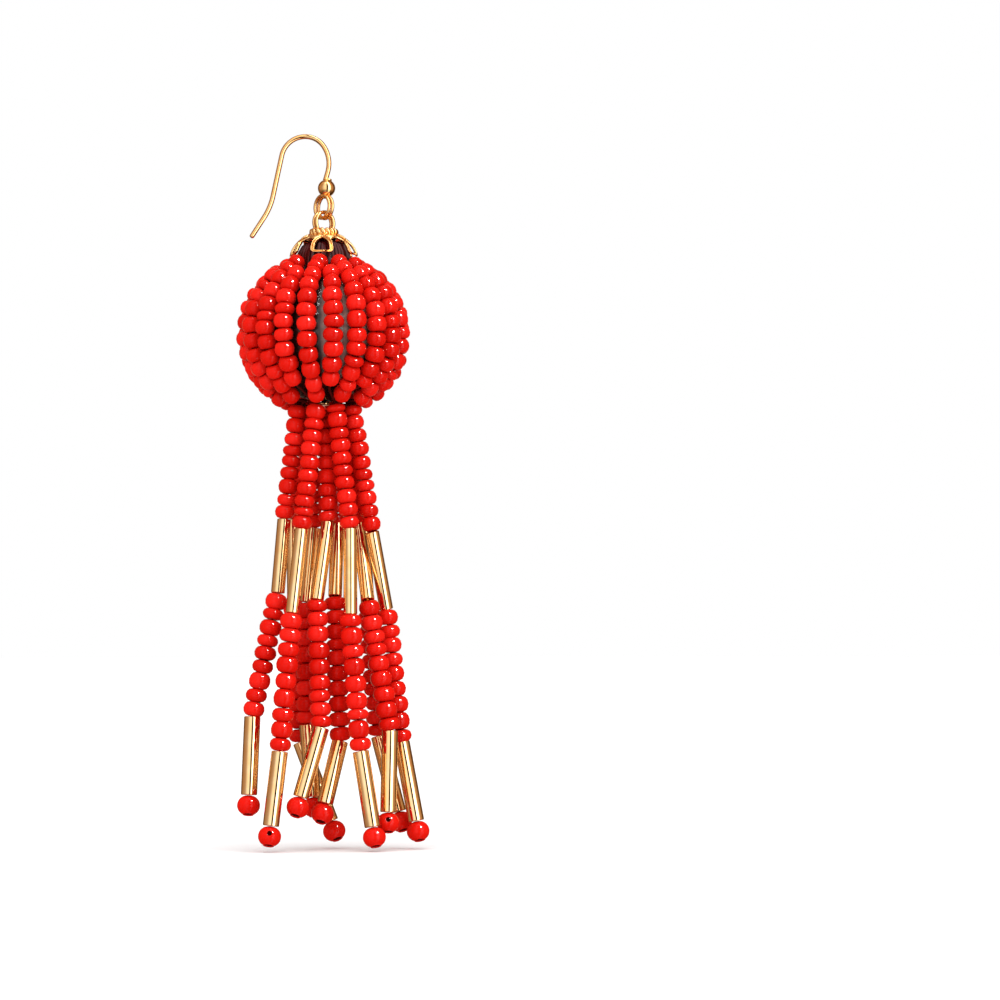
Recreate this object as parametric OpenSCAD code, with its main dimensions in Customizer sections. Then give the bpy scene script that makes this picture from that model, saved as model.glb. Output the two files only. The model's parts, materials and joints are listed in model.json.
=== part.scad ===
/* [Hook] */
// Diameter of the ear wire
wire_d = 0.8; // [0.7:0.05:0.9]
// Diameter of the ball on the ear wire
hook_ball_d = 2.8; // [2.4:0.1:3]
// Depth of the ball's centre under the ear seat
hook_ball_drop = 8; // [7.8:0.1:8.2]

/* [Rings] */
// Wire of the double rings
ring_wire = 0.5; // [0.4:0.05:0.5]
// Distance between the two rings of a pair
ring_pitch = 0.76; // [0.7:0.02:0.8]
// Outside diameter of the hook's rings
hook_ring_d = 4.2; // [4:0.1:4.4]
// Outside diameter of the pin's rings
pin_ring_d = 4; // [4:0.1:4.2]
// Turn of the hook's rings about the vertical
hook_ring_yaw = -52; // [-60:1:-45]

/* [Cap] */
// Diameter of the cap at its rim
cap_d = 11.2; // [11:0.1:11.4]
// Thickness of the cap's metal
cap_wall = 0.45; // [0.4:0.05:0.5]
// Number of petals
petals = 5; // [5:1:6]
// Width of the window in a petal
window_w = 2.3; // [1.8:0.1:2.4]
// Width of the opening between two petals, at the rim
notch_w = 3.1; // [2.6:0.1:3.4]

/* [Ball] */
// Diameter of the core
core_d = 21.4; // [21:0.1:21.6]
// Distance from the core's centre to the centres of the beads on it
string_r = 12.4; // [12.3:0.05:12.6]
// Angle between two beads of a string, seen from the core's centre
bead_step = 10.75; // [10.7:0.05:10.9]
// Diameter of the beads round the middle of the ball
ball_bead_d = 3.2; // [3:0.05:3.3]
// Diameter of the smaller beads near its two ends
pole_bead_d = 2.75; // [2.7:0.05:2.85]

/* [Tassel] */
// Diameter of the beads above the upper bugles
upper_bead_d = 3.1; // [2.9:0.05:3.15]
// Length of such a bead along its thread, with its gap
upper_pitch = 2; // [1.8:0.05:2.2]
// Diameter of the beads between the bugles
lower_bead_d = 3.4; // [3.2:0.05:3.4]
// Length of such a bead along its thread, with its gap
lower_pitch = 2.3; // [2.1:0.05:2.5]
// Diameter of the end beads
end_bead_d = 3.65; // [3.4:0.05:3.7]
// Height of an end bead
end_bead_h = 3.2; // [2.8:0.1:3.3]
// Diameter of the upper bugles
upper_bugle_d = 2.2; // [2:0.1:2.2]
// Diameter of the lower bugles
lower_bugle_d = 2.6; // [2.3:0.1:2.6]
// Bore of the bugles
bugle_bore = 1.2; // [1:0.1:1.3]
// Diameter of the thread
thread_d = 0.5; // [0.4:0.05:0.6]

/* [Hidden] */
strings = 20;
strands = 10;
$fn = 48;
function numbered(stem, i) = str(stem, i < 10 ? "0" : "", i);

// The ear seat, under the top of the hook's arch, is the origin. The drop hangs straight down this far to its
// right.
drop_x = 2.95;
hook_ball_x = 3.39;
// The two legs of the hook, from the top of the arch. Each step is [turn away from the top, radius], or with
// no turn [0, length].
front_leg = [[55, 3.5], [42, 5], [9, 6], [0, 1.3]];
tail_leg = [[78, 3.9], [0, 6.76], [-20.5, 10.6], [0, 3.9]];
joint_gap = 0.02;

hook_ring_r = (hook_ring_d - ring_wire) / 2;
pin_ring_r = (pin_ring_d - ring_wire) / 2;
hook_ring_z = -11.05;
// The drop swings on the bottom of the hook's rings
pivot_z = hook_ring_z - hook_ring_r;
pin_ring_drop = 0.75;
pin_ring_z = pivot_z - pin_ring_drop;

// The ball's centre. The heights in what follows are measured from it.
ball_z = -31.8;
core_r = core_d / 2;
// A short round neck stands up from the core into the cap
neck_r = 3.3;
neck_top = 14.5;
neck_round = 1.2;
bore_d = 1.6;
pin_d = 0.8;
pin_head_d = 1.9;
pin_head_h = 0.5;
pin_head_z = -core_r - 0.15 - pin_head_h;
pin_top_z = pin_ring_z - ball_z - pin_ring_r;

// The cap is a dome whose section is an arc about this point, cut off at these angles
dome_centre = [0.9, 11.6];
rim_angle = 13;
crown_angle = 74;
dome_r = (cap_d / 2 - dome_centre[0]) / cos(rim_angle);
crown_r = 2.2;
crown_bead = 0.85;
crown_z = 16.7;
seat_z = 15.1;
seat_h = 0.45;
notch_shoulder = 12.6;
notch_top = 15.3;
// The middle of the front petal, as an angle about the axis
cap_turn = -93.5;
window_top = 15.3;
window_sill = 13.2;

// The azimuth of each string on the ball, from the front towards the right
string_az = [7, 25, 42.5, 60, 80, 98, 116, 134, 151, 168, 186, 204, 222, 240, 258, 275, 293, 312, 329, 347];
// Every second string is a long one. The short ones between start half a step lower, where there is room for
// them.
first_angle = 28;
long_count = 12;
short_count = 9;
short_start = 1.5;
// Beads further than this from the ball's middle are the smaller ones
pole_limit = 31;
bead_gap = 0.1;
ball_bead_h = 2.15;
bugle_gap = 0.25;
end_hole_d = 1.4;
// A few end beads have a small blind hole in the side too, this far above their middle
side_hole_d = 0.75;
side_hole_rise = 0.5;
side_hole_depth = 0.9;
hub_r = 0.5;
hub_h = 0.03;

// Where each strand runs, in mm right of and behind the ball's axis and above its centre: the first bead,
// then the top and the bottom of each bugle.
STRAND = [
  // first bead         upper bugle top      upper bugle bottom    lower bugle top       lower bugle bottom
  [[-4.2, -1.9, -12.6], [-6.3, -1.6, -29.8], [-7.3, -2.0, -41.6], [-11.3, -2.4, -61.2], [-11.8, -2.4, -73.6]],
  [[-1.3, -4.5, -12.6], [-3.5, -5.0, -31.6], [-5.0, -5.5, -45.0], [-6.9, -6.0, -66.8], [-8.3, -6.1, -78.5]],
  [[0.1, -1.3, -13.2], [0.7, -2.6, -30.3], [-1.1, -3.8, -42.8], [-0.4, -4.6, -63.0], [-3.6, -4.9, -74.0]],
  [[-3.15, 1.3, -12.8], [-1.6, 0.9, -31.0], [-2.7, 0.8, -42.9], [-2.6, 1.0, -62.4], [-1.7, 1.2, -73.9]],
  [[0.1, 1.9, -13.2], [2.2, 2.4, -30.2], [1.8, -0.8, -42.1], [2.6, -1.2, -65.1], [0.2, -2.2, -75.0]],
  [[-1.7, 4.7, -12.8], [-4.9, 4.2, -29.4], [-4.8, 4.4, -42.4], [-3.7, 5.0, -65.1], [1.1, 4.4, -77.8]],
  [[1.95, -4.5, -12.6], [4.2, -4.8, -31.5], [4.2, -5.2, -45.2], [5.8, -5.6, -66.8], [7.7, -5.8, -78.7]],
  [[3.4, 1.3, -12.8], [5.5, 1.7, -30.3], [7.0, -2.6, -42.8], [10.5, -3.0, -63.5], [10.2, -3.1, -76.4]],
  [[1.8, 4.7, -12.8], [6.4, 5.0, -31.0], [7.1, 3.6, -44.2], [8.8, 4.2, -64.2], [11.9, 3.6, -76.3]],
  [[4.6, -1.9, -12.6], [7.7, -1.8, -31.8], [10.0, 0.4, -44.1], [12.4, 0.8, -65.2], [14.7, 0.6, -77.8]]
];
function first_bead(s) = STRAND[s][0];
function upper_top(s) = STRAND[s][1];
function upper_bottom(s) = STRAND[s][2];
function lower_top(s) = STRAND[s][3];
function lower_bottom(s) = STRAND[s][4];
// How far each strand's end bead is turned towards the front, and the strands whose end bead has a side hole
end_turn = [15, 15, 20, 10, 20, 20, 15, 15, 15, 15];
side_holed = [2, 8];

// The bead next to a bugle lies on its axis, half a bead and a gap beyond its end
function past(end, other, bead_h) =
    end + (end - other) / norm(end - other) * (bead_h / 2 + bugle_gap);
upper_bead_h = upper_pitch - bead_gap;
lower_bead_h = lower_pitch - bead_gap;
function last_upper(s) = past(upper_top(s), upper_bottom(s), upper_bead_h);
function first_lower(s) = past(upper_bottom(s), upper_top(s), lower_bead_h);
function last_lower(s) = past(lower_top(s), lower_bottom(s), lower_bead_h);
function end_bead(s) = past(lower_bottom(s), lower_top(s), end_bead_h);
// The thread starts under the core, above the first bead
thread_r = core_r + 0.25;
function thread_start(s) =
    let (p = first_bead(s)) [p[0], p[1], -sqrt(thread_r * thread_r - p[0] * p[0] - p[1] * p[1])];

gold = "goldenrod";
red = "red";

module along(from, to) {
    d = to - from;
    translate(from)
        rotate([0, acos(d[2] / norm(d)), atan2(d[1], d[0])])
            children();
}

// A length of thread or wire between two points
module rod(from, to, d) {
    along(from, to) cylinder(h = norm(to - from), d = d);
}

// A bead's section, at a height along its thread: a round back, and a flat hub at each end round the hole
module bead_section(z, d, h) {
    translate([d / 2 - h / 2, z]) circle(d = h);
    translate([0, z - h / 2 - hub_h]) square([hub_r, h + 2 * hub_h]);
}

// The side of a section that a turn about the thread needs
module half_plane(from, to) {
    translate([0, from]) square([core_d, to - from]);
}

module seed_bead(d, h) {
    rotate_extrude()
        intersection() {
            bead_section(0, d, h);
            half_plane(-h, h);
        }
}

// A row of beads on their thread, joined, from the first bead's centre up to the last one's
module bead_row(count, pitch, d, h) {
    rotate_extrude()
        intersection() {
            union() {
                for (i = [0 : count - 1]) bead_section(i * pitch, d, h);
                square([thread_d / 2, (count - 1) * pitch]);
            }
            half_plane(-h, count * pitch);
        }
}

// A bead with an open hole in its top, where its thread doesn't come through
module end_bead_shape() {
    difference() {
        seed_bead(end_bead_d, end_bead_h);
        translate([0, 0, end_bead_h * 0.2]) cylinder(h = end_bead_h, d = end_hole_d);
    }
}

// The blind hole in the front of an end bead
module side_hole() {
    translate([0, -end_bead_d / 2 + side_hole_depth, side_hole_rise])
        rotate([90, 0, 0])
            cylinder(h = end_bead_d, d = side_hole_d);
}

// A straight piece of wire towards +X with a bevelled end
module wire_tip(length) {
    r = wire_d / 2;
    rotate([0, 90, 0])
        rotate_extrude()
            polygon([[0, 0], [r, 0], [r, length - r / 2], [r / 2, length], [0, length]]);
}

// A leg of the hook in the XY plane, from the origin towards +X, bending towards -Y. Each piece ends just
// short of the next, inside a close sleeve that joins the two.
module leg(steps, i = 0) {
    turn = steps[i][0];
    size = steps[i][1];
    if (i == len(steps) - 1) {
        wire_tip(size);
    } else {
        if (turn == 0) {
            rotate([0, 90, 0]) cylinder(h = size - joint_gap, d = wire_d);
            translate([size, 0, 0]) {
                sleeve();
                leg(steps, i + 1);
            }
        } else {
            side = sign(turn);
            angle = abs(turn) - joint_gap / size * 180 / PI;
            translate([0, -side * size, 0]) {
                rotate([0, 0, side > 0 ? 90 - angle : -90])
                    rotate_extrude(angle = angle) translate([size, 0]) circle(d = wire_d);
                rotate([0, 0, -turn])
                    translate([0, side * size, 0]) {
                        sleeve();
                        leg(steps, i + 1);
                    }
            }
        }
    }
}

// A sleeve over the joint of two pieces of wire
module sleeve() {
    rotate([0, 90, 0]) cylinder(h = 0.2, d = wire_d + 0.02, center = true);
}

// Two rings side by side, in upright planes, about the origin
module double_ring(r, yaw) {
    rotate([0, 0, yaw])
        for (side = [-1, 1])
            translate([0, side * ring_pitch / 2, 0])
                rotate([90, 0, 0])
                    rotate_extrude() translate([r, 0]) circle(d = ring_wire);
}

module ear_hook() {
    color(gold)
        union() {
            translate([0, 0, wire_d / 2])
                rotate([90, 0, 0]) {
                    translate([joint_gap, 0, 0]) leg(front_leg);
                    mirror([1, 0, 0]) leg(tail_leg);
                    sleeve();
                }
            translate([hook_ball_x, 0, -hook_ball_drop]) sphere(d = hook_ball_d);
            translate([drop_x, 0, hook_ring_z]) double_ring(hook_ring_r, hook_ring_yaw);
        }
}

module eye_pin() {
    color(gold)
        union() {
            translate([0, 0, pin_ring_z - ball_z]) double_ring(pin_ring_r, hook_ring_yaw + 90);
            translate([0, 0, pin_head_z]) cylinder(h = pin_top_z - pin_head_z, d = pin_d);
            translate([0, 0, pin_top_z - 0.05]) cylinder(h = ring_wire, d = ring_pitch + ring_wire);
            translate([0, 0, pin_head_z]) cylinder(h = pin_head_h, d = pin_head_d);
        }
}

// The dome's section, from the crown to the rim
module dome_section() {
    translate(dome_centre)
        intersection() {
            difference() {
                circle(r = dome_r);
                circle(r = dome_r - cap_wall);
            }
            polygon([
                [0, 0],
                [2 * dome_r * cos(rim_angle), 2 * dome_r * sin(rim_angle)],
                [2 * dome_r * cos(crown_angle), 2 * dome_r * sin(crown_angle)]
            ]);
        }
}

// A pointed opening between two petals, wide at the rim
module notch() {
    rotate([90, 0, 90])
        linear_extrude(cap_d)
            polygon([
                [-notch_w / 2, 0], [notch_w / 2, 0],
                [notch_w / 2, notch_shoulder], [0, notch_top], [-notch_w / 2, notch_shoulder]
            ]);
}

// An arched window in a petal
module window() {
    rotate([90, 0, 90])
        translate([0, 0, window_w * 0.6])
            linear_extrude(cap_d) {
                translate([0, window_top - window_w / 2]) circle(d = window_w);
                translate([-window_w / 2, window_sill])
                    square([window_w, window_top - window_w / 2 - window_sill]);
            }
}

module bead_cap() {
    color(gold)
        union() {
            difference() {
                rotate_extrude() dome_section();
                for (i = [0 : petals - 1]) {
                    rotate([0, 0, 360 / petals * i + cap_turn]) window();
                    rotate([0, 0, 360 / petals * (i + 0.5) + cap_turn]) notch();
                }
            }
            rotate_extrude() translate([crown_r, crown_z]) circle(d = crown_bead);
            rotate_extrude() translate([crown_r - cap_wall / 2, seat_z]) square([cap_wall, crown_z - seat_z]);
            difference() {
                translate([0, 0, seat_z]) cylinder(h = seat_h, r = crown_r + crown_bead / 3);
                translate([0, 0, seat_z - 1]) cylinder(h = seat_h + 2, d = bore_d);
            }
        }
}

module core_neck() {
    rotate_extrude() {
        square([neck_r, neck_top - neck_round]);
        square([neck_r - neck_round, neck_top]);
        translate([neck_r - neck_round, neck_top - neck_round])
            intersection() {
                circle(r = neck_round);
                square(neck_round);
            }
    }
}

module core_ball() {
    color("tan")
        difference() {
            union() {
                sphere(d = core_d, $fn = 96);
                core_neck();
            }
            translate([0, 0, -core_d]) cylinder(h = 2 * core_d, d = bore_d);
        }
}

module ball_string(i) {
    long = i % 2 == 0;
    count = long ? long_count : short_count;
    start = first_angle + (long ? 0 : short_start * bead_step);
    last = start + (count - 1) * bead_step;
    color(red)
        rotate([0, 0, string_az[i - 1] - 90]) {
            rotate([90, 0, 0])
                rotate([0, 0, 90 - last])
                    rotate_extrude(angle = last - start)
                        translate([string_r, 0]) circle(d = thread_d);
            for (j = [0 : count - 1]) {
                angle = start + j * bead_step;
                d = abs(angle - 90) > pole_limit ? pole_bead_d : ball_bead_d;
                rotate([0, angle, 0])
                    translate([0, 0, string_r])
                        rotate([0, 90, 0])
                            seed_bead(d, ball_bead_h);
            }
        }
}

// A straight run of beads between two centres, as many as fit at about this pitch
module bead_run(from, to, pitch, d, h) {
    length = norm(to - from);
    steps = round(length / pitch);
    along(from, to) bead_row(steps + 1, length / steps, d, h);
}

module strand(s) {
    color(red)
        union() {
            rod(thread_start(s), first_bead(s), thread_d);
            bead_run(first_bead(s), last_upper(s), upper_pitch, upper_bead_d, upper_bead_h);
            rod(last_upper(s), first_lower(s), thread_d);
            bead_run(first_lower(s), last_lower(s), lower_pitch, lower_bead_d, lower_bead_h);
            rod(last_lower(s), end_bead(s), thread_d);
            translate(end_bead(s))
                difference() {
                    rotate([-end_turn[s], 0, 0])
                        along([0, 0, 0], end_bead(s) - last_lower(s)) end_bead_shape();
                    if (len(search(s + 1, side_holed)) > 0) side_hole();
                }
        }
}

module bugle(from, to, d) {
    color("khaki")
        difference() {
            rod(from, to, d);
            rod(from * 2 - to, to * 2 - from, bugle_bore);
        }
}

module in_drop() {
    translate([drop_x, 0, ball_z]) children();
}

ear_hook();
in_drop() eye_pin();
in_drop() bead_cap();
in_drop() core_ball();
for (i = [1 : strings])
    in_drop() ball_string(i);
for (i = [1 : strands]) {
    in_drop() strand(i - 1);
    in_drop() bugle(upper_top(i - 1), upper_bottom(i - 1), upper_bugle_d);
    in_drop() bugle(lower_top(i - 1), lower_bottom(i - 1), lower_bugle_d);
}
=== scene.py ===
# %% [markdown]
# # A beaded dangle earring
# Gold ear wire, openwork cap, a ball wrapped in strings of red seed beads, and a tassel of ten bead strands with
# gold bugles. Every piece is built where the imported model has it, in metres, with +Z up and -Y to the viewer.

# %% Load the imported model
import json
import math

import bmesh
import bpy
import numpy as np
from mathutils import Matrix, Vector

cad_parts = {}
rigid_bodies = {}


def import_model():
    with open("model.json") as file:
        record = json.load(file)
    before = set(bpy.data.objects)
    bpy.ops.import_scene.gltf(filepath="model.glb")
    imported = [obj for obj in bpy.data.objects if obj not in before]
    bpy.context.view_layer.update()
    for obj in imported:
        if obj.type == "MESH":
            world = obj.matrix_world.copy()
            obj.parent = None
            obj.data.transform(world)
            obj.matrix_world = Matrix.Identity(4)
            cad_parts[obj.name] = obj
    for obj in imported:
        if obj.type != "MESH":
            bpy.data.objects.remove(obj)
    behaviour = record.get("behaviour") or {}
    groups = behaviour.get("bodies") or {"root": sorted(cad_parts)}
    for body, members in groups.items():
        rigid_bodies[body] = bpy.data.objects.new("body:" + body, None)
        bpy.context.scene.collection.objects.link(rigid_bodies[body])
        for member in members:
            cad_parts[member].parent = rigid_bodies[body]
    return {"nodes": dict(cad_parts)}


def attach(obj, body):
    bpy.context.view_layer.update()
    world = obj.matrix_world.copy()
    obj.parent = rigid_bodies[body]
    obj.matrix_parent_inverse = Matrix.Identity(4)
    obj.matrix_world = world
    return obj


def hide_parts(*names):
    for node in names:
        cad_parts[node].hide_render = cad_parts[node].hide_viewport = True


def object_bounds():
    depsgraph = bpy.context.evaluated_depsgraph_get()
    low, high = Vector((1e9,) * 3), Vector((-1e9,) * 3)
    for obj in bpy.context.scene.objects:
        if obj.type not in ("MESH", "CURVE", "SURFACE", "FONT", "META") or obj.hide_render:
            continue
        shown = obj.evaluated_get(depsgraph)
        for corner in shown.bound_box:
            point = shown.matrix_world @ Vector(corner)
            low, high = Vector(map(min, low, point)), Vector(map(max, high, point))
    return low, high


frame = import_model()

MM = 0.001
scene = bpy.context.scene
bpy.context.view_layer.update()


def add_object(name, data):
    thing = bpy.data.objects.new(name, data)
    scene.collection.objects.link(thing)
    return thing


# %% [markdown]
# ## The camera
# A long lens flattens the earring as a product photograph does. The camera stands low, near the tassel's ends,
# and looks up a little. It is turned to the right, which puts the earring left of the middle.

# %% Camera
DROP_X = 2.95 * MM
BALL_Z = -31.8 * MM
CAMERA_PLACE = Vector((2.95, -598.3, -109.0)) * MM
CAMERA_YAW = 2.70
CAMERA_PITCH = 4.83
CAMERA_ROLL = -0.22

lens = bpy.data.cameras.new("camera")
lens.lens = 135
lens.sensor_width = 36
lens.clip_start = 0.01
camera = add_object("camera", lens)
camera.location = CAMERA_PLACE
aim = Matrix.Rotation(math.radians(-CAMERA_YAW), 3, "Z") @ Matrix.Rotation(math.radians(90 + CAMERA_PITCH), 3, "X")
camera.rotation_euler = (aim @ Matrix.Rotation(math.radians(CAMERA_ROLL), 3, "Z")).to_euler()
scene.camera = camera
print("camera", [round(c, 3) for c in CAMERA_PLACE], "m, lens", lens.lens, "mm")

# %% [markdown]
# ## A helper for node trees
# The light, the finishes and what Geometry Nodes makes are all node trees. One small class adds nodes to any of
# them.

# %% Graph


class Graph:
    """A node tree that is being built. A value for a socket is a number, a vector or another socket."""

    MIX_SOCKETS = {"FLOAT": (2, 3, 0), "RGBA": (6, 7, 2)}

    def __init__(self, group):
        self.group = group

    def put(self, socket, value):
        if isinstance(value, bpy.types.NodeSocket):
            self.group.links.new(value, socket)
        else:
            socket.default_value = value

    def node(self, kind, settings=None, **sockets):
        """Adds a node. An underscore in a socket's name stands for a space."""
        node = self.group.nodes.new(kind)
        for label, value in (settings or {}).items():
            setattr(node, label, value)
        for label, value in sockets.items():
            self.put(node.inputs[label.replace("_", " ")], value)
        return node

    def made(self, kind, settings=None, **sockets):
        """Adds a node and returns its first output."""
        return self.node(kind, settings, **sockets).outputs[0]

    def operate(self, kind, operation, values):
        node = self.node(kind, {"operation": operation})
        for socket, value in zip(node.inputs, values):
            self.put(socket, value)
        return node.outputs

    def math(self, operation, *values):
        return self.operate("ShaderNodeMath", operation, values)[0]

    def vector(self, operation, *values):
        is_number = operation in ("LENGTH", "DOT_PRODUCT")
        return self.operate("ShaderNodeVectorMath", operation, values)["Value" if is_number else "Vector"]

    def azimuth(self, x, y):
        """The angle round the upright axis, from 0 in front, in radians."""
        return self.math("ARCTAN2", x, self.math("MULTIPLY", y, -1.0))

    def mix(self, kind, factor, first, second):
        """From the first number or colour to the second one."""
        a, b, result = self.MIX_SOCKETS[kind]
        node = self.node("ShaderNodeMix", {"data_type": kind}, Factor=factor)
        self.put(node.inputs[a], first)
        self.put(node.inputs[b], second)
        return node.outputs[result]

    def spread(self, value, low, high, to_low=0.0, to_high=1.0):
        """Stretches the span from low to high over another one."""
        return self.node("ShaderNodeMapRange", Value=value, From_Min=low, From_Max=high, To_Min=to_low,
                         To_Max=to_high).outputs["Result"]

    def ramp(self, value, stops):
        """A colour between stops of (place, colour), chosen by a value."""
        ramp = self.node("ShaderNodeValToRGB", Fac=value)
        marks = ramp.color_ramp.elements
        while len(marks) < len(stops):
            marks.new(0.5)
        for mark, (place, colour) in zip(marks, stops):
            mark.position = place
            mark.color = (*colour, 1)
        return ramp.outputs["Color"]


# %% [markdown]
# ## The light
# Gold and glass show what is around them, so the world is a small studio. Glossy rays see a bright softbox on the
# right, a wide softer one on the left, a dark strip between them that draws the dark line down every gold tube,
# and a dim warm room behind. Diffuse rays get white light, more of it from above and in front. The camera sees
# white. Colours aren't rolled off as on film, because the beads are a very pure red.

# %% World: the studio that reflections see, the even light and the white background
scene.view_settings.view_transform = "Standard"
scene.view_settings.look = "None"

# Warmth runs from 0 for white to 1 for a brown, which lacks these shares of red, green and blue
BROWN_LACKS = (0.0, 0.48, 0.78)
STUDIO = (
    # azimuth in degrees (0 in front, right positive), brightness, warmth
    (-180, 0.42, 0.6),
    (-156, 0.36, 0.7),
    (-134, 0.08, 1.0),
    (-108, 0.42, 0.8),
    (-72, 0.52, 0.6),
    (-52, 0.65, 0.3),
    (-38, 1.05, 0.0),
    (-12, 1.45, 0.0),
    (0, 0.95, 0.0),
    (4, 0.02, 1.0),
    (21, 0.02, 1.0),
    (26, 4.60, 0.0),
    (47, 4.60, 0.0),
    (60, 0.72, 0.6),
    (94, 0.48, 0.9),
    (118, 0.08, 1.0),
    (134, 0.08, 1.0),
    (156, 0.36, 0.7),
    (180, 0.42, 0.6),
)
HEIGHTS = (
    # elevation in degrees, what the brightness is multiplied by there, warmth
    (-90, 0.30, 0.0),
    (-35, 0.36, 0.0),
    (-14, 1.00, 0.0),
    (44, 1.00, 0.0),
    (60, 1.55, 0.0),
    (90, 1.45, 0.0),
)
# The light on diffuse rays: its mean, how much it leans, and from where: above the camera and a little to the right
AMBIENT = 0.79
AMBIENT_LEAN = 1.58
AMBIENT_FROM = (0.12, -0.68, 0.72)


def studio_ramp(graph, value, rows, reach):
    """The rows' brightness as a colour, for a value from -reach to reach."""
    stops = [((place + reach) / (2 * reach), [light * (1 - lack * warmth) for lack in BROWN_LACKS])
             for place, light, warmth in rows]
    return graph.ramp(graph.spread(value, -reach, reach), stops)


def build_world():
    world = bpy.data.worlds.new("studio")
    scene.world = world
    world.use_nodes = True
    world.node_tree.nodes.clear()
    graph = Graph(world.node_tree)
    where = graph.node("ShaderNodeTexCoord").outputs["Generated"]
    axes = graph.node("ShaderNodeSeparateXYZ", Vector=where).outputs
    azimuth = graph.math("DEGREES", graph.azimuth(axes["X"], axes["Y"]))
    elevation = graph.math("DEGREES", graph.math("ARCSINE", axes["Z"]))
    rays = graph.node("ShaderNodeLightPath").outputs
    colour = graph.mix("RGBA", rays["Is Glossy Ray"], (1, 1, 1, 1), studio_ramp(graph, azimuth, STUDIO, 180))
    lean = graph.vector("DOT_PRODUCT", where, AMBIENT_FROM)
    even = graph.math("MULTIPLY_ADD", lean, AMBIENT_LEAN, AMBIENT)
    unmirrored = graph.mix("FLOAT", rays["Is Camera Ray"], even, 1.0)
    strength = graph.mix("FLOAT", rays["Is Glossy Ray"], unmirrored, studio_ramp(graph, elevation, HEIGHTS, 90))
    back = graph.node("ShaderNodeBackground", Color=colour, Strength=strength)
    graph.node("ShaderNodeOutputWorld", Surface=back.outputs[0])


build_world()

# %% [markdown]
# ## The small bright lamp
# Each bead has one small white spot, up and to the right. A lamp that only reflections see gives it.

# %% Lamp for the beads' highlights
LAMP_AZIMUTH = 40
LAMP_ELEVATION = 42
LAMP_DISTANCE = 0.9
LAMP_SIZE = 0.26
LAMP_POWER = 105.0


def add_lamp():
    data = bpy.data.lights.new("highlight_lamp", "AREA")
    data.shape = "DISK"
    data.size = LAMP_SIZE
    data.energy = LAMP_POWER
    lamp = add_object("highlight_lamp", data)
    a, e = math.radians(LAMP_AZIMUTH), math.radians(LAMP_ELEVATION)
    towards = Vector((math.sin(a) * math.cos(e), -math.cos(a) * math.cos(e), math.sin(e)))
    target = Vector((DROP_X, 0, -60 * MM))
    lamp.location = target + towards * LAMP_DISTANCE
    lamp.rotation_euler = towards.to_track_quat("Z", "Y").to_euler()
    lamp.visible_camera = False
    lamp.visible_diffuse = False
    return lamp


# The gold doesn't see this lamp, or it would be all white spots: only what is in this collection does
highlighted = bpy.data.collections.new("highlighted")
highlight_lamp = add_lamp()
highlight_lamp.light_linking.receiver_collection = highlighted

# %% [markdown]
# ## The shader group
# Real metal, glass and wood are never quite smooth. One group serves every finish: fine unevenness is a height for
# a Bump node, and soft mottling changes slowly over the surface, for roughness and colour.

# %% Group that the finishes share
SCRATCH_STRETCH = (9.0, 9.0, 0.7)
SCRATCH_TURN = (0.3, 0.2, 0.0)


def build_unevenness():
    """Height from two sizes of noise and a few long scratches, all in metres of the object."""
    group = bpy.data.node_groups.new("fine unevenness", "ShaderNodeTree")
    for way, labels in (("INPUT", ("Waves per mm", "Scratches")), ("OUTPUT", ("Height", "Mottle"))):
        for label in labels:
            group.interface.new_socket(label, in_out=way, socket_type="NodeSocketFloat")
    graph = Graph(group)
    given = graph.node("NodeGroupInput").outputs
    place = graph.node("ShaderNodeTexCoord").outputs["Object"]
    scale = graph.math("MULTIPLY", given["Waves per mm"], 1 / MM)
    wide = graph.node("ShaderNodeTexNoise", Vector=place, Scale=scale, Detail=3.0).outputs["Fac"]
    fine = graph.node("ShaderNodeTexNoise", Vector=place, Scale=graph.math("MULTIPLY", scale, 5.0), Detail=2.0)
    stretch = graph.node("ShaderNodeMapping", Vector=place, Scale=SCRATCH_STRETCH, Rotation=SCRATCH_TURN)
    lines = graph.node("ShaderNodeTexNoise", Vector=stretch.outputs[0], Scale=scale, Detail=1.0)
    height = graph.math("ADD", wide, graph.math("MULTIPLY", fine.outputs["Fac"], 0.25))
    scratch = graph.math("MULTIPLY", lines.outputs["Fac"], given["Scratches"])
    graph.node("NodeGroupOutput", Height=graph.math("ADD", height, scratch), Mottle=wide)
    return group


UNEVENNESS = build_unevenness()
print("shader groups:", [g.name for g in bpy.data.node_groups])

# %% [markdown]
# ## Finishes
# Gold plate, the bugles' metallic gold, red glass for beads and thread, and the varnished core that shows between
# the strings. Each is a Principled BSDF with its own numbers and the shared group.

# %% A helper that starts a finish


def start_finish(name, base, metallic, roughness, uneven, specular=0.5):
    """A material with a Principled BSDF and the shared group: the height feeds a bump, the mottle the roughness.
    uneven is waves per mm, scratches, depth in mm, least and most roughness."""
    waves, scratches, depth, least, most = uneven
    material = bpy.data.materials.new(name)
    material.use_nodes = True
    material.diffuse_color = (*base, 1)
    graph = Graph(material.node_tree)
    shader = material.node_tree.nodes["Principled BSDF"].inputs
    shader["Base Color"].default_value = (*base, 1)
    shader["Metallic"].default_value = metallic
    shader["Roughness"].default_value = roughness
    shader["Specular IOR Level"].default_value = specular
    effect = graph.node("ShaderNodeGroup", {"node_tree": UNEVENNESS}, Waves_per_mm=waves, Scratches=scratches)
    mottle = effect.outputs["Mottle"]
    bump = graph.node("ShaderNodeBump", Strength=1.0, Distance=depth * MM, Height=effect.outputs["Height"])
    graph.put(shader["Normal"], bump.outputs["Normal"])
    graph.put(shader["Roughness"], graph.spread(mottle, 0.35, 0.65, least, most))
    return material, graph, shader, mottle


# %% [markdown]
# ### Gold
# The plate over brass is warm yellow, a little redder where it is thin, with fine scratches from wear. The bugles
# are cut glass tube with a metallic gold finish, paler than the plate.

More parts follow.
